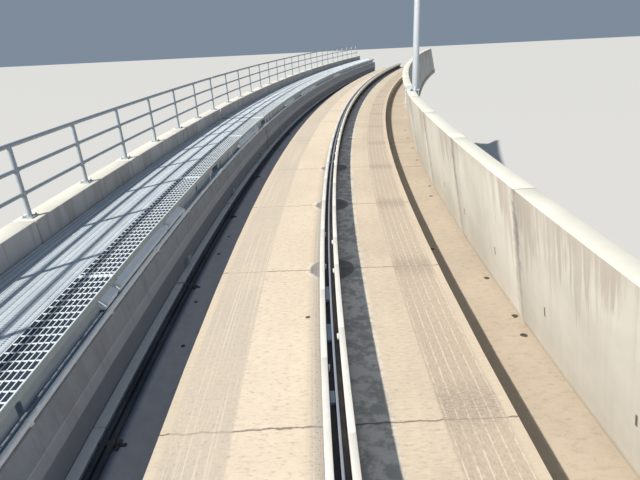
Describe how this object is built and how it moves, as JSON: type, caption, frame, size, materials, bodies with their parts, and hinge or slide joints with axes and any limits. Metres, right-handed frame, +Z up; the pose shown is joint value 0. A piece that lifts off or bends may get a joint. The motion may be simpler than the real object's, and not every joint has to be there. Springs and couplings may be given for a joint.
{
  "type": "elevated people mover guideway segment",
  "caption": "Curved elevated guideway for a rubber-tyred people mover: box-girder spans on round piers, running slab, guide beam, parapet, walkway with handrail and cable runs.",
  "frame": {"origin": "on the ground under the footings, at the middle of the outline seen from above", "axes": "+Y along the chord from the near end to the far end, +X to the right, towards the inside of the curve, +Z up"},
  "size_m": [7.79, 39.5306, 11.9313],
  "materials": {
    "girder_concrete": "formed concrete, weathered",
    "slab_concrete": "broomed concrete with worn tyre tracks",
    "wall_concrete": "pale formed concrete with dark runs",
    "pier_concrete": "formed concrete with panel seams",
    "galvanised_steel": "weathered galvanised",
    "dark_steel": "dusty rolled steel",
    "rail_cover": "sun-bleached moulding",
    "signal_rail": "dull blue-grey",
    "mast_paint": "weathered blue-grey",
    "cable_jacket": "dusty black jacket"
  },
  "bodies": {
    "piers_and_near_span": {"footing_near": "pier_concrete", "footing_middle": "pier_concrete", "footing_far": "pier_concrete", "pier_near": "pier_concrete", "pier_middle": "pier_concrete", "pier_far": "pier_concrete", "bearing_near_near": "dark_steel", "bearing_middle_near": "dark_steel", "bearing_middle_far": "dark_steel", "bearing_far_far": "dark_steel", "box_girder_near": "girder_concrete", "running_slab_near": "slab_concrete", "parapet_near": "wall_concrete", "kerb_near": "wall_concrete", "handrail_near": "galvanised_steel", "walkway_frame_near": "galvanised_steel", "walkway_grating_near": "galvanised_steel", "cable_tray_near": "galvanised_steel", "cable_hood_near_1": "galvanised_steel", "cable_hood_near_2": "galvanised_steel", "cable_hood_near_3": "galvanised_steel", "cable_hood_near_4": "galvanised_steel", "cable_hood_near_5": "galvanised_steel", "conduit_near": "galvanised_steel", "guide_beam_near": "dark_steel", "power_rail_left_near": "rail_cover", "power_rail_right_near": "rail_cover", "signal_rail_near": "signal_rail", "floor_duct_near": "galvanised_steel", "channel_cables_near": "cable_jacket", "service_mast": "mast_paint", "mast_feed": "galvanised_steel"},
    "far_span": {"box_girder_far": "girder_concrete", "running_slab_far": "slab_concrete", "parapet_far": "wall_concrete", "kerb_far": "wall_concrete", "handrail_far": "galvanised_steel", "walkway_frame_far": "galvanised_steel", "walkway_grating_far": "galvanised_steel", "cable_tray_far": "galvanised_steel", "cable_hood_far_1": "galvanised_steel", "cable_hood_far_2": "galvanised_steel", "cable_hood_far_3": "galvanised_steel", "cable_hood_far_4": "galvanised_steel", "conduit_far": "galvanised_steel", "guide_beam_far": "dark_steel", "power_rail_left_far": "rail_cover", "power_rail_right_far": "rail_cover", "signal_rail_far": "signal_rail", "floor_duct_far": "galvanised_steel", "channel_cables_far": "cable_jacket"}
  },
  "joints": [
    {"name": "expansion_slide", "type": "slide", "parent": "piers_and_near_span", "child": "far_span", "axis": [-0.0651, 0.9979, 0], "range_m": [-0.025, 0.025]}
  ]
}
